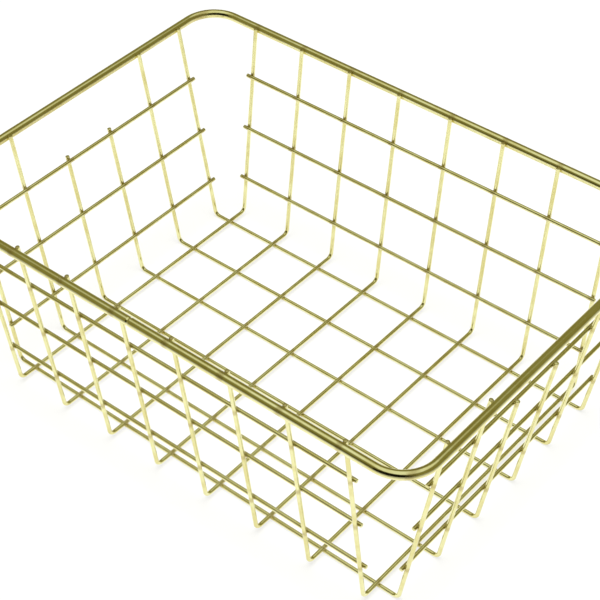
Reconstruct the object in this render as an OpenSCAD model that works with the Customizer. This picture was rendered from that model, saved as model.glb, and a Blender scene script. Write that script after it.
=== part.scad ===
// Wire locker basket
// An open basket of bent and welded round wire under a heavier rim rod.
// The origin is on the surface that the basket stands on, under the middle of the rim.
// X runs along the basket, Y across it and Z up. The front is the long side at minus Y.

/* [Overall size] */
// Length over the rim
basket_length = 356; // [240:1:480]
// Width over the rim
basket_width = 256; // [180:1:360]
// Height from the floor to the top of the rim
basket_height = 142; // [126:1:200]
// Outward lean of the two long sides, in degrees
side_taper = 7.3; // [0:0.1:12]
// Outward lean of the two ends, in degrees
end_taper = 10; // [0:0.1:15]

/* [Rim] */
// Diameter of the rim rod
rim_diameter = 5.4; // [4:0.1:7]
// Radius of the rim's corners, to the middle of the rod
rim_corner_radius = 21; // [12:0.5:26]
// Place of the rim's butt weld along the front, from the middle
rim_weld_x = -7.5; // [-100:0.5:100]
// Width of the shallow ring that is left where the butt weld was ground flush
rim_weld_width = 1.8; // [1:0.1:4]
// Depth of that ring
rim_weld_depth = 0.25; // [0.1:0.05:0.5]

/* [Wire] */
// Diameter of every wire of the mesh
wire_diameter = 2.5; // [2:0.1:3.5]
// Radius of the bends at the floor, to the middle of the wire
bend_radius = 4; // [3.5:0.5:8]
// Set-down, which is how far two wires sink into each other at a weld
weld_set_down = 0.25; // [0.1:0.05:0.5]
// How far the wire tips stand above the middle of the rim rod
tip_above_rim = 1.5; // [0:0.1:2]

/* [Mesh] */
// Number of wires bent across the width
width_wire_count = 8; // [5:1:10]
// Number of wires bent along the length
length_wire_count = 6; // [5:1:8]
// Number of length wires in the middle that stop short and leave the hand-holds
short_wire_count = 2; // [0:1:3]
// Distance at the floor from an end to the first width wire
end_margin = 14; // [10:0.5:24]
// Distance at the floor from a long side to the first length wire
side_margin = 13; // [10:0.5:24]
// Distance up a side from the floor to its lowest rail
lowest_rail = 28; // [16:0.5:34]
// Distance up a side from one rail to the next
rail_pitch = 38.5; // [30:0.5:41]
// How far rails and short wires run past the middle of the last wire they cross
overhang = 2.5; // [1.5:0.1:5]

/* [Hidden] */
plating = "#b9a544";
curve_sides = 48;
$fn = curve_sides;

rim_radius = rim_diameter / 2;
wire_radius = wire_diameter / 2;

// Bending upsets the wire to this diameter, and the straights run a little way into the bends
bend_diameter = wire_diameter + 0.02;
bend_lap = 0.1;

// Centre distances of two wires, and of a wire and the rim, that are welded together
wire_to_wire = wire_diameter - weld_set_down;
wire_to_rim = wire_radius + rim_radius - weld_set_down;

// Middle of the rim rod
rim_x = basket_length / 2 - rim_radius;
rim_y = basket_width / 2 - rim_radius;
rim_z = basket_height - rim_radius;
tip_z = rim_z + tip_above_rim;

// The length wires stand on their bends and the width wires lie on them
length_wire_z = bend_diameter / 2;
width_wire_z = length_wire_z + wire_to_wire;

// Where the floor and the side of a bent wire would meet in a sharp corner
function sharp_corner(rim_offset, floor_z, taper) =
    rim_offset - wire_to_rim / cos(taper) - (rim_z - floor_z) * tan(taper);
width_wire_corner = sharp_corner(rim_y, width_wire_z, side_taper);
length_wire_corner = sharp_corner(rim_x, length_wire_z, end_taper);

// Even places from minus reach to plus reach
function even_places(count, reach) = [for (i = [0:count - 1]) reach * (2 * i / (count - 1) - 1)];
width_wire_places = even_places(width_wire_count, length_wire_corner - end_margin);
length_wire_places = even_places(length_wire_count, width_wire_corner - side_margin);

// The short wires are the ones nearest the middle
function is_short(index) = abs(index - (length_wire_count - 1) / 2) < short_wire_count / 2;

// The three rails of a side, as distances up that side
rail_levels = ["bottom", "middle", "top"];
function rail_height(level) = lowest_rail + level * rail_pitch;
short_wire_height = rail_height(len(rail_levels) - 1) + overhang;

// Each side by name, and the turn that carries a side facing plus X to it
side_names = ["front", "back", "left", "right"];
side_turns = [-90, 90, 180, 0];

// Straight round bar along X, about the origin
module bar(diameter, length) {
    rotate([0, 90, 0]) cylinder(d = diameter, h = length, center = true);
}

// Round bar bent in the XY plane about the origin, from the X axis through an angle
module elbow(diameter, radius, angle) {
    rotate_extrude(angle = angle) translate([radius, 0]) circle(d = diameter);
}

// Frame of a side that faces plus X: its local Z climbs the side from the sharp corner
module on_side(corner, floor_z, taper) {
    translate([corner, 0, floor_z]) rotate([0, taper, 0]) children();
}

// U-shaped wire along X: a floor, two bends and two sides of the given height up the side
module bent_wire(corner, floor_z, taper, side_height) {
    turn = 90 - taper;
    setback = bend_radius * tan(turn / 2);
    side_start = setback - bend_lap;
    translate([0, 0, floor_z]) bar(wire_diameter, 2 * (corner - side_start));
    for (facing = [0, 180]) rotate([0, 0, facing]) {
        translate([corner - setback, 0, floor_z + bend_radius])
            rotate([90, 0, 0]) rotate([0, 0, -90]) elbow(bend_diameter, bend_radius, turn);
        on_side(corner, floor_z, taper) translate([0, 0, side_start])
            cylinder(d = wire_diameter, h = side_height - side_start);
    }
}

// What the rim presses into both sides of a bent wire that lies along X
module rim_seats(rim_offset) {
    for (facing = [-1, 1])
        translate([facing * rim_offset, 0, rim_z])
            rotate([0, 0, 90]) bar(rim_diameter, 2 * wire_diameter);
}

// What the width wires press into the floor of a length wire
module floor_seats() {
    for (x = width_wire_places)
        translate([x, 0, width_wire_z]) rotate([0, 0, 90]) bar(wire_diameter, 2 * wire_diameter);
}

// Straight rail inside a side that faces plus X, seated on every wire that it crosses
module rail(corner, floor_z, taper, height, crossings) {
    reach = max(crossings) + overhang;
    color(plating) on_side(corner, floor_z, taper) translate([0, 0, height]) difference() {
        translate([-wire_to_wire, 0, 0]) rotate([0, 0, 90]) bar(wire_diameter, 2 * reach);
        for (y = crossings)
            translate([0, y, 0]) cylinder(d = wire_diameter, h = 2 * wire_diameter, center = true);
    }
}

module side_rail(side, level) {
    on_long_side = side_names[side] == "front" || side_names[side] == "back";
    rotate([0, 0, side_turns[side]])
        if (on_long_side)
            rail(width_wire_corner, width_wire_z, side_taper, rail_height(level), width_wire_places);
        else
            rail(length_wire_corner, length_wire_z, end_taper, rail_height(level), length_wire_places);
}

module width_wire(index) {
    side_height = (tip_z - width_wire_z) / cos(side_taper);
    color(plating) translate([width_wire_places[index], 0, 0]) rotate([0, 0, 90]) difference() {
        bent_wire(width_wire_corner, width_wire_z, side_taper, side_height);
        rim_seats(rim_y);
    }
}

module length_wire(index) {
    full_height = (tip_z - length_wire_z) / cos(end_taper);
    side_height = is_short(index) ? short_wire_height : full_height;
    color(plating) translate([0, length_wire_places[index], 0]) difference() {
        bent_wire(length_wire_corner, length_wire_z, end_taper, side_height);
        rim_seats(rim_x);
        floor_seats();
    }
}

// Ring that the ground butt weld leaves round a rod along X
module weld_ring() {
    arc_radius = (pow(rim_weld_width / 2, 2) + pow(rim_weld_depth, 2)) / (2 * rim_weld_depth);
    rotate([0, 90, 0]) rotate_extrude()
        translate([rim_radius + arc_radius - rim_weld_depth, 0]) circle(r = arc_radius);
}

// One rod, bent at four corners and closed by a butt weld in the front
module rim() {
    straight_x = rim_x - rim_corner_radius;
    straight_y = rim_y - rim_corner_radius;
    color(plating) translate([0, 0, rim_z]) difference() {
        for (half_turn = [0, 180]) rotate([0, 0, half_turn]) {
            translate([0, rim_y, 0]) bar(rim_diameter, 2 * straight_x);
            translate([rim_x, 0, 0]) rotate([0, 0, 90]) bar(rim_diameter, 2 * straight_y);
            translate([straight_x, straight_y, 0]) elbow(rim_diameter, rim_corner_radius, 90);
            translate([-straight_x, straight_y, 0])
                rotate([0, 0, 90]) elbow(rim_diameter, rim_corner_radius, 90);
        }
        translate([rim_weld_x, -rim_y, 0]) weld_ring();
    }
}

rim();
for (i = [1:width_wire_count])
    width_wire(i - 1);
for (i = [1:length_wire_count])
    length_wire(i - 1);
for (side = [0:len(side_names) - 1])
    for (level = [0:len(rail_levels) - 1])
        side_rail(side, level);
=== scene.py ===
# %% [markdown]
# # A welded wire basket with a gold finish
# The basket is a mesh of bent round wire under a heavier rim rod, welded at every crossing and then
# plated in a pale, polished gold. The imported model already holds each length of metal at its real
# size and place, so it is loaded as a fixed frame. What is left to make here is everything that a
# plain solid can't show: the plating, the marks of drawing, the haze and painted shade round the
# welds, the beads of metal that the welds press out, and the studio that a shiny wire reflects.

# %% Load the imported model
import math

import bmesh
import bpy
from mathutils import Matrix, Vector


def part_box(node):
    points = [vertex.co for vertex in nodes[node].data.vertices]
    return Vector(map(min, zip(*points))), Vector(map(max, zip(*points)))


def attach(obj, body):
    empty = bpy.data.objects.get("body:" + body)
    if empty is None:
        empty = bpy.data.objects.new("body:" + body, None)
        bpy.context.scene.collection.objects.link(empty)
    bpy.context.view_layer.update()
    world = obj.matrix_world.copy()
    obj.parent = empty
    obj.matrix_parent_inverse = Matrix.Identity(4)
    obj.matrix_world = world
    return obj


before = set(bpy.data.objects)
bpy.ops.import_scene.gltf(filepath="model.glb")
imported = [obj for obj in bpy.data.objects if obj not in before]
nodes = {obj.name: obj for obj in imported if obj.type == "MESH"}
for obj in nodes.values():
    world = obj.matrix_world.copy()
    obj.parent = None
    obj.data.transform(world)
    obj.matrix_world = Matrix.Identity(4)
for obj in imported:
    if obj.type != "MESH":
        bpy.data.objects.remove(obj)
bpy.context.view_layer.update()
mm = 0.001
print("wires and rods in the model:", len(nodes))

# %% [markdown]
# ## Where the camera stands
# The photograph looks down on the front right corner through a long lens. The camera could be turned
# until it looks right, but a basket is a good ruler: its crossings are straight rows, so the camera
# was worked out from where they fall in the picture. It is given here by the place where it stands,
# the direction in which it looks, and the direction that is up in its picture.

# %% Camera at the photograph's viewing angle
camera_place = Vector((0.4850, -0.5734, 0.7515))
camera_forward = Vector((-0.4765, 0.5672, -0.6717)).normalized()
camera_up_hint = Vector((-0.4236, 0.5214, 0.7408))
camera_right = camera_forward.cross(camera_up_hint).normalized()
camera_up = camera_right.cross(camera_forward)

camera_data = bpy.data.cameras.new("studio_camera")
camera_data.sensor_width = 36
camera_data.lens = 103.81
camera = bpy.data.objects.new("studio_camera", camera_data)
turn = Matrix((camera_right, camera_up, -camera_forward)).transposed()
camera.matrix_world = Matrix.Translation(camera_place) @ turn.to_4x4()
bpy.context.scene.collection.objects.link(camera)
bpy.context.scene.camera = camera
bpy.context.scene.view_settings.view_transform = "Standard"
print("camera looks down by", round(math.degrees(math.asin(-camera_forward.z)), 1), "degrees")

# %% [markdown]
# ## Small helpers for node materials
# A material is a chain of nodes. The helpers below add a node with its values, join two sockets,
# start a node group with named inputs and outputs, do sums, and blend or step between values, so
# that the cells after them read as a list of what each effect does.

# %% Helpers for nodes
def add_node(tree, kind, **values):
    """A new node; values name its settings, or its inputs where a name starts with in_."""
    node = tree.nodes.new(kind)
    for name, value in values.items():
        if name.startswith("in_"):
            node.inputs[name[3:].replace("_", " ")].default_value = value
        else:
            setattr(node, name, value)
    return node


def join(tree, source, target):
    """A link from one socket to another."""
    tree.links.new(source, target)


def new_group(name, inputs, outputs):
    """A shader node group with its input and output nodes; each socket is (name, kind, value)."""
    group = bpy.data.node_groups.new(name, "ShaderNodeTree")
    for label, kind, value in inputs:
        socket = group.interface.new_socket(name=label, in_out="INPUT", socket_type=kind)
        socket.default_value = value
    for label, kind in outputs:
        group.interface.new_socket(name=label, in_out="OUTPUT", socket_type=kind)
    return group, group.nodes.new("NodeGroupInput"), group.nodes.new("NodeGroupOutput")


FLOAT = "NodeSocketFloat"
COLOUR = "NodeSocketColor"
VECTOR = "NodeSocketVector"


def calculate(tree, operation, first, second=None, third=None, clamp=False):
    """A Math node; each of its terms is a number or a socket."""
    node = add_node(tree, "ShaderNodeMath", operation=operation, use_clamp=clamp)
    for place, term in enumerate((first, second, third)):
        if term is None:
            continue
        if isinstance(term, bpy.types.NodeSocket):
            join(tree, term, node.inputs[place])
        else:
            node.inputs[place].default_value = term
    return node.outputs[0]


def blend_colours(tree, share, first, second):
    """A colour between two, by a share from 0 to 1."""
    node = add_node(tree, "ShaderNodeMix", data_type="RGBA")
    for socket, term in ((node.inputs[0], share), (node.inputs[6], first), (node.inputs[7], second)):
        if isinstance(term, bpy.types.NodeSocket):
            join(tree, term, socket)
        else:
            socket.default_value = term
    return node.outputs[2]


def between(tree, value, low, high, to_low=0.0, to_high=1.0):
    """A smooth step of a socket from low to high, given out as to_low to to_high."""
    node = add_node(tree, "ShaderNodeMapRange", interpolation_type="SMOOTHSTEP")
    join(tree, value, node.inputs["Value"])
    for name, term in (("From Min", low), ("From Max", high), ("To Min", to_low), ("To Max", to_high)):
        if isinstance(term, bpy.types.NodeSocket):
            join(tree, term, node.inputs[name])
        else:
            node.inputs[name].default_value = term
    return node.outputs[0]


# %% [markdown]
# ## The studio
# A polished wire has hardly any colour of its own: it shows what stands round it. In the photograph
# the climbing wires are pale, because they reflect the pale floor, and the level ones are a deep
# olive gold, because they reflect a dim room. There is a wide soft light overhead and a dark gap
# behind the camera. The room could be built from cards and lamps, but a gradient in the world that
# depends only on direction is lighter and gives the same reflections.

# %% Room that the wires reflect
room_colour = (0.235, 0.215, 0.075, 1)
soft_light_colour = (0.80, 0.82, 0.70, 1)
dark_gap_colour = (0.006, 0.005, 0.002, 1)
soft_light_edge = math.sin(math.radians(48))
soft_light_full = math.sin(math.radians(62))
dark_gap_azimuth, dark_gap_elevation = math.radians(-72), math.radians(10)
dark_gap_edge = math.cos(math.radians(52))
dark_gap_full = math.cos(math.radians(34))
dark_gap_middle = Vector((
    math.cos(dark_gap_elevation) * math.cos(dark_gap_azimuth),
    math.cos(dark_gap_elevation) * math.sin(dark_gap_azimuth),
    math.sin(dark_gap_elevation)))

world = bpy.data.worlds.new("studio_room")
bpy.context.scene.world = world
world.use_nodes = True
room = world.node_tree
room.nodes.clear()
direction = add_node(room, "ShaderNodeTexCoord").outputs["Generated"]
height = add_node(room, "ShaderNodeSeparateXYZ")
join(room, direction, height.inputs[0])
overhead = between(room, height.outputs["Z"], soft_light_edge, soft_light_full)
towards_gap = add_node(room, "ShaderNodeVectorMath", operation="DOT_PRODUCT")
join(room, direction, towards_gap.inputs[0])
towards_gap.inputs[1].default_value = dark_gap_middle
in_gap = between(room, towards_gap.outputs["Value"], dark_gap_edge, dark_gap_full)
walls = blend_colours(room, in_gap, room_colour, dark_gap_colour)
room_light = blend_colours(room, overhead, walls, soft_light_colour)
ray = add_node(room, "ShaderNodeLightPath")
seen_colour = blend_colours(room, ray.outputs["Is Camera Ray"], room_light, (1, 1, 1, 1))
background = add_node(room, "ShaderNodeBackground", in_Strength=1.0)
join(room, seen_colour, background.inputs["Color"])
world_output = add_node(room, "ShaderNodeOutputWorld")
join(room, background.outputs[0], world_output.inputs["Surface"])
print("soft light covers everything above", round(math.degrees(math.asin(soft_light_full))), "degrees")

# %% [markdown]
# The basket stands on a plain floor. Its white comes from its own colour: most of it is given out to
# the camera and to reflections, and a smaller part is lit, so that the basket still leaves a soft
# shadow. In reflections the floor is bright only round the basket, as a lit floor in a dim room is.

# %% Pale floor
floor_reach = 6.0
bright_radius, dim_radius = 0.30, 0.52
far_brightness = 0.22
given_out, lit = 0.72, 0.28

bpy.ops.object.select_all(action="DESELECT")
bpy.ops.mesh.primitive_plane_add(size=2 * floor_reach, location=(0, 0, 0))
floor = bpy.context.object
floor.name = "studio_floor"
floor_paint = bpy.data.materials.new("studio_floor")
floor_paint.use_nodes = True
paint = floor_paint.node_tree
paint.nodes.clear()
ray = add_node(paint, "ShaderNodeLightPath")
place = add_node(paint, "ShaderNodeTexCoord")
distance = add_node(paint, "ShaderNodeVectorMath", operation="LENGTH")
join(paint, place.outputs["Object"], distance.inputs[0])
pool = between(paint, distance.outputs["Value"], bright_radius, dim_radius, 1.0, far_brightness)
reflected = calculate(paint, "MAXIMUM", ray.outputs["Is Glossy Ray"], ray.outputs["Is Transmission Ray"])
in_reflection = calculate(paint, "MULTIPLY", pool, reflected)
shown = calculate(paint, "MAXIMUM", ray.outputs["Is Camera Ray"], in_reflection)
glow = add_node(paint, "ShaderNodeEmission", in_Color=(1, 1, 1, 1))
join(paint, calculate(paint, "MULTIPLY", shown, given_out), glow.inputs["Strength"])
matt = add_node(paint, "ShaderNodeBsdfDiffuse", in_Color=(lit, lit, lit, 1))
both = add_node(paint, "ShaderNodeAddShader")
join(paint, glow.outputs[0], both.inputs[0])
join(paint, matt.outputs[0], both.inputs[1])
floor_output = add_node(paint, "ShaderNodeOutputMaterial")
join(paint, both.outputs[0], floor_output.inputs["Surface"])
floor.data.materials.append(floor_paint)

# %% [markdown]
# One broad lamp high over the basket lights the floor and makes its shadow soft. The wires don't
# reflect the lamp itself, because the soft light of the room already stands in its place.

# %% Soft lamp
lamp_data = bpy.data.lights.new("soft_lamp", "AREA")
lamp_data.shape = "SQUARE"
lamp_data.size = 1.6
lamp_data.energy = 38
lamp = bpy.data.objects.new("soft_lamp", lamp_data)
lamp.location = (0.15, -0.1, 1.8)
lamp.visible_glossy = False
bpy.context.scene.collection.objects.link(lamp)

# %% [markdown]
# ## The gold finish
# The real finish is a thin bright plating over drawn steel wire. Close to, it isn't one even colour:
# the plating is paler where it is thick, it is a little duller round every weld, where painted shade
# also darkens it, and the wire under it keeps fine lines from the drawing die and a slight waviness
# from the straightening rollers. Each of these is a node group, because the rim, the mesh and the
# welds all use them with their own values.

# %% Group: cloudy plating
haze_of_specks = 0.08


def make_plating_group():
    """Pale and deep gold in soft clouds, with the haze that goes with them."""
    group, given, result = new_group(
        "cloudy_plating",
        [("Pale", COLOUR, (0.88, 0.85, 0.46, 1)), ("Deep", COLOUR, (0.8, 0.74, 0.34, 1)),
         ("Cloud Size", FLOAT, 60.0), ("Smooth", FLOAT, 0.1), ("Hazy", FLOAT, 0.2)],
        [("Color", COLOUR), ("Roughness", FLOAT)])
    place = add_node(group, "ShaderNodeTexCoord")
    clouds = add_node(group, "ShaderNodeTexNoise", in_Detail=3.0, in_Roughness=0.6)
    join(group, place.outputs["Object"], clouds.inputs["Vector"])
    join(group, given.outputs["Cloud Size"], clouds.inputs["Scale"])
    specks = add_node(group, "ShaderNodeTexNoise", in_Detail=2.0, in_Scale=900.0)
    join(group, place.outputs["Object"], specks.inputs["Vector"])
    cloud_share = between(group, clouds.outputs["Fac"], 0.38, 0.64)
    speck_share = between(group, specks.outputs["Fac"], 0.62, 0.72)
    colour = blend_colours(group, cloud_share, given.outputs["Pale"], given.outputs["Deep"])
    roughness = between(
        group, clouds.outputs["Fac"], 0.35, 0.7, given.outputs["Smooth"], given.outputs["Hazy"])
    speck_haze = calculate(group, "MULTIPLY", speck_share, haze_of_specks)
    join(group, colour, result.inputs["Color"])
    join(group, calculate(group, "ADD", roughness, speck_haze), result.inputs["Roughness"])
    return group


plating_group = make_plating_group()
print("made the group", plating_group.name)

# %% [markdown]
# Drawing lines run along the wire. A noise that is stretched far along the wire and squeezed across
# it gives them, so the group takes the number of waves per metre in each direction.

# %% Group: lines from the drawing die
def make_drawing_group():
    """Fine lines along a wire and its slight waviness, as a height in metres."""
    group, given, result = new_group(
        "drawing_lines",
        [("Waves", VECTOR, (20.0, 4000.0, 4000.0)), ("Line Depth", FLOAT, 0.000002),
         ("Wave Length", FLOAT, 40.0), ("Wave Depth", FLOAT, 0.00003)],
        [("Height", FLOAT), ("Lines", FLOAT)])
    place = add_node(group, "ShaderNodeTexCoord")
    stretched = add_node(group, "ShaderNodeVectorMath", operation="MULTIPLY")
    join(group, place.outputs["Object"], stretched.inputs[0])
    join(group, given.outputs["Waves"], stretched.inputs[1])
    lines = add_node(group, "ShaderNodeTexNoise", in_Detail=2.0, in_Scale=1.0)
    join(group, stretched.outputs[0], lines.inputs["Vector"])
    waviness = add_node(group, "ShaderNodeTexNoise", in_Detail=1.0)
    join(group, place.outputs["Object"], waviness.inputs["Vector"])
    join(group, given.outputs["Wave Length"], waviness.inputs["Scale"])
    line_height = calculate(group, "MULTIPLY", lines.outputs["Fac"], given.outputs["Line Depth"])
    wave_height = calculate(group, "MULTIPLY", waviness.outputs["Fac"], given.outputs["Wave Depth"])
    join(group, calculate(group, "ADD", line_height, wave_height), result.inputs["Height"])
    join(group, lines.outputs["Fac"], result.inputs["Lines"])
    return group


drawing_group = make_drawing_group()
print("made the group", drawing_group.name)

# %% [markdown]
# Round each weld the gold is darkened with painted shade, standing in for the shade where the wires
# meet, and made a little duller. The crossings are evenly spaced, so the distance to the nearest one
# is the ping-pong of a coordinate over half the spacing, and one small group marks them all without a list
# of places.

# %% Group: painted shade and haze round the welds
mark_core = 1.2 * mm
ragged_by = 1.6 * mm


def make_shade_and_haze_group():
    """1 at each weld along a wire, falling to 0 beside it, for the painted shade and haze there; Axis picks
    the coordinate that is read.
    """
    group, given, result = new_group(
        "crossing_shade_and_haze",
        [("Axis", VECTOR, (1.0, 0.0, 0.0)), ("First", FLOAT, 0.0), ("Spacing", FLOAT, 0.04),
         ("Reach", FLOAT, 0.004)],
        [("Mark", FLOAT)])
    place = add_node(group, "ShaderNodeTexCoord")
    along = add_node(group, "ShaderNodeVectorMath", operation="DOT_PRODUCT")
    join(group, place.outputs["Object"], along.inputs[0])
    join(group, given.outputs["Axis"], along.inputs[1])
    from_first = calculate(group, "SUBTRACT", along.outputs["Value"], given.outputs["First"])
    half_spacing = calculate(group, "MULTIPLY", given.outputs["Spacing"], 0.5)
    distance = calculate(group, "PINGPONG", from_first, half_spacing)
    ragged = add_node(group, "ShaderNodeTexNoise", in_Scale=700.0, in_Detail=2.0)
    join(group, place.outputs["Object"], ragged.inputs["Vector"])
    rough_edge = calculate(group, "MULTIPLY_ADD", ragged.outputs["Fac"], ragged_by, distance)
    mark = between(group, rough_edge, mark_core, given.outputs["Reach"], 1.0, 0.0)
    join(group, mark, result.inputs["Mark"])
    return group


shade_and_haze_group = make_shade_and_haze_group()
print("made the group", shade_and_haze_group.name)

# %% [markdown]
# ## Measures taken from the model
# The welds and the marks have to sit where the wires cross, so their places are worked out from the
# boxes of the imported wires.

# %% Measures of the mesh
def middle_of(name):
    """The middle of a node's box."""
    low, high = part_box(name)
    return (low + high) / 2


def count_of(prefix):
    """How many nodes start with these words."""
    return sum(1 for name in nodes if name.startswith(prefix))


width_wires = [f"width_wire_{i + 1}" for i in range(count_of("width_wire_"))]
length_wires = [f"length_wire_{i + 1}" for i in range(count_of("length_wire_"))]
width_places = [middle_of(name).x for name in width_wires]
length_places = [middle_of(name).y for name in length_wires]
width_spacing = (width_places[-1] - width_places[0]) / (len(width_places) - 1)
length_spacing = (length_places[-1] - length_places[0]) / (len(length_places) - 1)

rail_low, rail_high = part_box("front_rail_bottom")
wire_radius = (rail_high.z - rail_low.z) / 2
wire_to_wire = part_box(width_wires[0])[0].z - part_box(length_wires[0])[0].z
set_down = 2 * wire_radius - wire_to_wire
rim_low, rim_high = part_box("rim")
rim_radius = (rim_high.z - rim_low.z) / 2
rim_middle_height = (rim_high.z + rim_low.z) / 2
rim_half_length = (rim_high.x - rim_low.x) / 2 - rim_radius
rim_half_width = (rim_high.y - rim_low.y) / 2 - rim_radius
first_rail_height = middle_of("front_rail_bottom").z
rail_spacing = middle_of("front_rail_middle").z - first_rail_height
first_end_rail_height = middle_of("right_rail_bottom").z
end_rail_spacing = middle_of("right_rail_middle").z - first_end_rail_height
print("wire and rim radius in mm:", round(wire_radius / mm, 3), round(rim_radius / mm, 3))
print("spacing in mm:", round(width_spacing / mm, 2), "by", round(length_spacing / mm, 2))

# %% [markdown]
# ## Gold on each family of wires
# All the wires share one finish, but the lines of the drawing die turn with the wire, and each
# family meets its welds along another axis. So one function builds a material from the three groups,
# and is given the direction of the lines and the spacing of the welds for each family.

# %% Material for plated wire
along_x = (25.0, 5200.0, 5200.0)
along_y = (5200.0, 25.0, 5200.0)
along_z = (5200.0, 5200.0, 25.0)
x_axis, y_axis, z_axis = (1.0, 0.0, 0.0), (0.0, 1.0, 0.0), (0.0, 0.0, 1.0)
# Painted shade: round each crossing the gold is darkened towards this colour, standing in for the shade
# between the wires.
crossing_shade_colour = (0.50, 0.40, 0.15, 1)
crossing_shade_strength = 0.55
weld_haze = 0.16
bend_height = 6.5 * mm


def add_group(tree, group, **values):
    """A group node with its inputs set; an underscore in a name stands for a space."""
    node = add_node(tree, "ShaderNodeGroup", node_tree=group)
    for name, value in values.items():
        node.inputs[name.replace("_", " ")].default_value = value
    return node


def height_share(tree):
    """0 on the floor of the basket and 1 on its sides."""
    place = add_node(tree, "ShaderNodeTexCoord")
    split = add_node(tree, "ShaderNodeSeparateXYZ")
    join(tree, place.outputs["Object"], split.inputs[0])
    return between(tree, split.outputs["Z"], 0.8 * bend_height, 1.2 * bend_height)


def make_gold(name, low_lines, low_marks, high_lines=None, high_marks=None,
              smooth=0.10, hazy=0.20, wave=0.00005):
    """Gold plate on a wire; what is low belongs to its floor part, and what is high to its sides."""
    material = bpy.data.materials.new(name)
    material.use_nodes = True
    tree = material.node_tree
    tree.nodes.clear()
    plating = add_group(tree, plating_group, Smooth=smooth, Hazy=hazy)
    drawing = add_group(tree, drawing_group, Waves=low_lines, Wave_Depth=wave)
    marks = add_group(tree, shade_and_haze_group, **low_marks)
    surface_height, mark = drawing.outputs["Height"], marks.outputs["Mark"]
    if high_lines:
        share = height_share(tree)
        side_drawing = add_group(tree, drawing_group, Waves=high_lines, Wave_Depth=wave)
        side_marks = add_group(tree, shade_and_haze_group, **high_marks)
        mix = add_node(tree, "ShaderNodeMix", data_type="FLOAT")
        join(tree, share, mix.inputs[0])
        join(tree, surface_height, mix.inputs[2])
        join(tree, side_drawing.outputs["Height"], mix.inputs[3])
        surface_height = mix.outputs[0]
        mix = add_node(tree, "ShaderNodeMix", data_type="FLOAT")
        join(tree, share, mix.inputs[0])
        join(tree, mark, mix.inputs[2])
        join(tree, side_marks.outputs["Mark"], mix.inputs[3])
        mark = mix.outputs[0]
    # Painted shade darkens the gold round each crossing; the roughness there rises as well.
    crossing_shade_share = calculate(tree, "MULTIPLY", mark, crossing_shade_strength)
    colour = blend_colours(tree, crossing_shade_share, plating.outputs["Color"], crossing_shade_colour)
    roughness = calculate(tree, "MULTIPLY_ADD", mark, weld_haze, plating.outputs["Roughness"])
    bump = add_node(tree, "ShaderNodeBump", in_Strength=1.0, in_Distance=1.0)
    join(tree, surface_height, bump.inputs["Height"])
    shader = add_node(tree, "ShaderNodeBsdfPrincipled", in_Metallic=1.0)
    join(tree, colour, shader.inputs["Base Color"])
    join(tree, roughness, shader.inputs["Roughness"])
    join(tree, bump.outputs["Normal"], shader.inputs["Normal"])
    output = add_node(tree, "ShaderNodeOutputMaterial")
    join(tree, shader.outputs[0], output.inputs["Surface"])
    return material


at_width_wires = dict(Axis=x_axis, First=width_places[0], Spacing=width_spacing)
at_length_wires = dict(Axis=y_axis, First=length_places[0], Spacing=length_spacing)
at_side_rails = dict(Axis=z_axis, First=first_rail_height, Spacing=rail_spacing)
at_end_rails = dict(Axis=z_axis, First=first_end_rail_height, Spacing=end_rail_spacing)
gold_on = {
    "width_wire": make_gold("gold_on_width_wires", along_y, at_length_wires, along_z, at_side_rails),
    "length_wire": make_gold("gold_on_length_wires", along_x, at_width_wires, along_z, at_end_rails),
    "long_rail": make_gold("gold_on_long_rails", along_x, at_width_wires),
    "end_rail": make_gold("gold_on_end_rails", along_y, at_length_wires),
}
print("materials:", ", ".join(material.name for material in gold_on.values()))

# %% [markdown]
# The rim is a heavier rod that runs both ways. One setting serves the whole rod: its lines and marks
# are read along X, which is right on the long sides and only roughly right on the two ends. Lines
# that turn with the rod at its corners would be truer and would take a second pair of groups. The
# beads and the cut ends share a duller gold.

# %% Material for the rim, the welds and the cut ends
gold_on["rim"] = make_gold("gold_on_rim", along_x, at_width_wires, smooth=0.09, hazy=0.17, wave=0.00012)
gold_on["weld"] = make_gold("gold_on_welds", along_z, at_width_wires, smooth=0.24, hazy=0.38, wave=0.0001)


def family_of(name):
    """Which family of wires a node belongs to."""
    if name == "rim":
        return "rim"
    if "_rail_" in name:
        return "long_rail" if name.startswith(("front", "back")) else "end_rail"
    return name.rsplit("_", 1)[0]


for name, node in nodes.items():
    node.data.materials.clear()
    node.data.materials.append(gold_on[family_of(name)])
print("gold is on", len(nodes), "wires and rods")

# %% [markdown]
# ## Weld beads
# Where two wires are pressed together and welded, a little metal is squeezed out and fills the corner
# between them. On the real basket it shows as a small pad at each crossing. A fillet for each of the
# four corners would be the exact shape, but the pad is under 2 mm wide, so one flat cushion that lies
# between the wires gives the same four fillets with few faces.

# %% One weld bead
bead_half_width = 1.25 * mm
bead_half_thickness = 0.42 * mm


def select_faces(obj, wanted):
    """In edit mode, selects only the faces whose normal is wanted."""
    mesh = bmesh.from_edit_mesh(obj.data)
    for face in mesh.faces:
        face.select = wanted(face.normal)
    mesh.select_flush_mode()
    bmesh.update_edit_mesh(obj.data)


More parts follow.
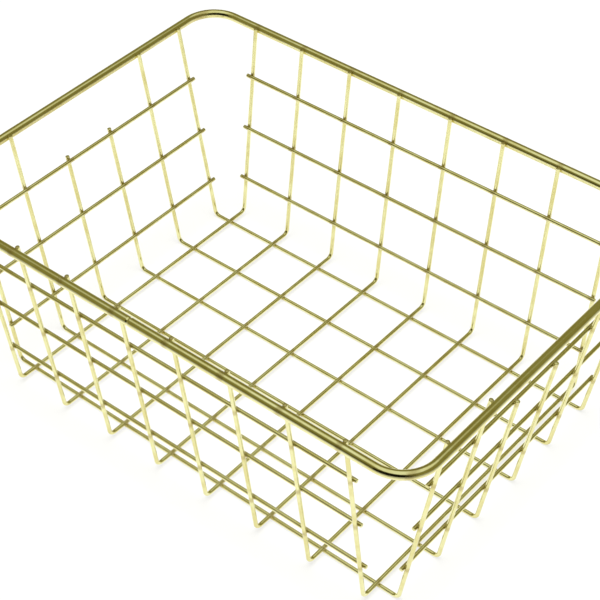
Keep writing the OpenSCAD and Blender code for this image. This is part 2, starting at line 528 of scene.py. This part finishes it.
def make_bead():
    """A flat cushion about the origin, with its thickness along Z."""
    bpy.ops.object.select_all(action="DESELECT")
    bpy.ops.mesh.primitive_cube_add(size=2)
    bead = bpy.context.object
    bead.scale = (bead_half_width, bead_half_width, bead_half_thickness)
    bpy.ops.object.transform_apply(location=True, rotation=True, scale=True)
    bpy.ops.object.mode_set(mode="EDIT")
    bpy.ops.mesh.select_mode(type="FACE")
    bpy.ops.mesh.select_all(action="DESELECT")
    select_faces(bead, lambda normal: abs(normal.z) > 0.9)
    bpy.ops.mesh.inset(thickness=0.4 * bead_half_width, depth=0.5 * bead_half_thickness)
    bpy.ops.object.mode_set(mode="OBJECT")
    rounding = bead.modifiers.new("rounding", "SUBSURF")
    rounding.levels = rounding.render_levels = 1
    bpy.ops.object.modifier_apply(modifier="rounding")
    bpy.ops.object.shade_smooth()
    return bead


bead_pattern = make_bead()
print("faces of one bead:", len(bead_pattern.data.polygons))

# %% [markdown]
# Every crossing has its own place and its own pair of directions. On the sloping sides the
# directions come from the rails: the line from the bottom rail to the top one climbs the side.

# %% Places of the crossings
def placing(place, first_axis, second_axis):
    """A matrix that carries a pattern's X and Y to two axes and its origin to a place."""
    normal = first_axis.cross(second_axis).normalized()
    turned = Matrix((first_axis, second_axis, normal)).transposed().to_4x4()
    return Matrix.Translation(place) @ turned


def side_axes(side):
    """The direction along a side's rails, the one that climbs it, and the one that faces outwards."""
    climb = (middle_of(f"{side}_rail_top") - middle_of(f"{side}_rail_bottom")).normalized()
    along = Vector(x_axis) if side in ("front", "back") else Vector(y_axis)
    outwards = along.cross(climb)
    if outwards.dot(middle_of(f"{side}_rail_top")) < 0:
        outwards = -outwards
    return along, climb, outwards


def with_coordinate(point, along, value):
    """The point moved along an axis to a coordinate."""
    return point + along * (value - point.dot(along))


floor_crossings = []
floor_weld_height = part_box(length_wires[0])[0].z + wire_radius + wire_to_wire / 2
for x in width_places:
    for y in length_places:
        place = Vector((x, y, floor_weld_height))
        floor_crossings.append(placing(place, Vector(x_axis), Vector(y_axis)))

side_crossings = []
rim_crossings = []
for side in ("front", "back", "left", "right"):
    along, climb, outwards = side_axes(side)
    places = width_places if along.x else length_places
    for level in ("bottom", "middle", "top"):
        rail = middle_of(f"{side}_rail_{level}") + outwards * wire_to_wire / 2
        for value in places:
            side_crossings.append(placing(with_coordinate(rail, along, value), along, climb))
    rim_line = Vector((0, 0, rim_middle_height))
    rim_line += Vector((outwards.x * rim_half_length, outwards.y * rim_half_width, 0)).normalized() * (
        rim_half_width if along.x else rim_half_length)
    seat = rim_line - outwards * (rim_radius - set_down / 2)
    for name, value in zip(width_wires if along.x else length_wires, places):
        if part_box(name)[1].z > rim_low.z:
            rim_crossings.append(placing(with_coordinate(seat, along, value), along, climb))
print("crossings:", len(floor_crossings), "floor,", len(side_crossings), "sides,", len(rim_crossings), "rim")

# %% Copies of the bead at every crossing
def scatter(pattern, name, placings, material, variation=0.0):
    """One piece made of a copy of the pattern at each place, each a little different in size."""
    copies = []
    for number, matrix in enumerate(placings):
        swing = math.sin(12.99 * (number + 1)) * variation
        stretch = math.sin(7.13 * (number + 1)) * variation
        mesh = pattern.data.copy()
        mesh.transform(matrix @ Matrix.Diagonal((1 + swing, 1 + stretch, 1 + swing / 2, 1)))
        copy = bpy.data.objects.new(name, mesh)
        bpy.context.scene.collection.objects.link(copy)
        copies.append(copy)
    bpy.ops.object.select_all(action="DESELECT")
    for copy in copies:
        copy.select_set(True)
    bpy.context.view_layer.objects.active = copies[0]
    bpy.ops.object.join()
    piece = bpy.context.object
    piece.name = name
    piece.data.materials.clear()
    piece.data.materials.append(material)
    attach(piece, "root")
    return piece


bead_variation = 0.12
scatter(bead_pattern, "floor_welds", floor_crossings, gold_on["weld"], bead_variation)
scatter(bead_pattern, "side_welds", side_crossings, gold_on["weld"], bead_variation)
scatter(bead_pattern, "rim_welds", rim_crossings, gold_on["weld"], bead_variation)
bpy.data.objects.remove(bead_pattern)

# %% [markdown]
# ## Cut ends
# Each wire ends where a shear cut it, and the plating rounds off the burr of the cut. A cylinder
# primitive gives the disc of the cut, and its face is inset and pushed out to round it.

# %% One cut end
end_cap_depth = 0.35 * mm


def make_wire_end():
    """A rounded button on the XY plane that stands up along Z, as wide as the wire."""
    bpy.ops.object.select_all(action="DESELECT")
    bpy.ops.mesh.primitive_cylinder_add(
        vertices=20, radius=wire_radius, depth=0.2 * mm, end_fill_type="NGON")
    end = bpy.context.object
    bpy.ops.object.mode_set(mode="EDIT")
    bpy.ops.mesh.select_mode(type="FACE")
    bpy.ops.mesh.select_all(action="DESELECT")
    select_faces(end, lambda normal: normal.z > 0.9)
    bpy.ops.mesh.inset(thickness=0.22 * wire_radius, depth=0.5 * end_cap_depth)
    bpy.ops.mesh.inset(thickness=0.28 * wire_radius, depth=0.2 * end_cap_depth)
    bpy.ops.object.mode_set(mode="OBJECT")
    bpy.ops.object.shade_smooth()
    return end


wire_end_pattern = make_wire_end()
print("faces of one wire end:", len(wire_end_pattern.data.polygons))

# %% Places of the cut ends
end_placings = []
for side in ("front", "back", "left", "right"):
    along, climb, outwards = side_axes(side)
    for level in ("bottom", "middle", "top"):
        low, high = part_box(f"{side}_rail_{level}")
        reach = (high - low).dot(along) / 2
        for facing in (-1, 1):
            tip = middle_of(f"{side}_rail_{level}") + along * facing * reach
            end_placings.append(placing(tip, climb, climb.cross(along * facing) * -1))
    on_rail = middle_of(f"{side}_rail_bottom") + outwards * wire_to_wire
    lean = abs(outwards.z)
    for name in (width_wires if along.x else length_wires):
        tip_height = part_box(name)[1].z - wire_radius * lean
        tip = on_rail + climb * ((tip_height - on_rail.z) / climb.z)
        tip = with_coordinate(tip, along, middle_of(name).dot(along))
        end_placings.append(placing(tip, outwards, climb.cross(outwards)))
scatter(wire_end_pattern, "wire_ends", end_placings, gold_on["weld"])
bpy.data.objects.remove(wire_end_pattern)
print("cut ends:", len(end_placings))
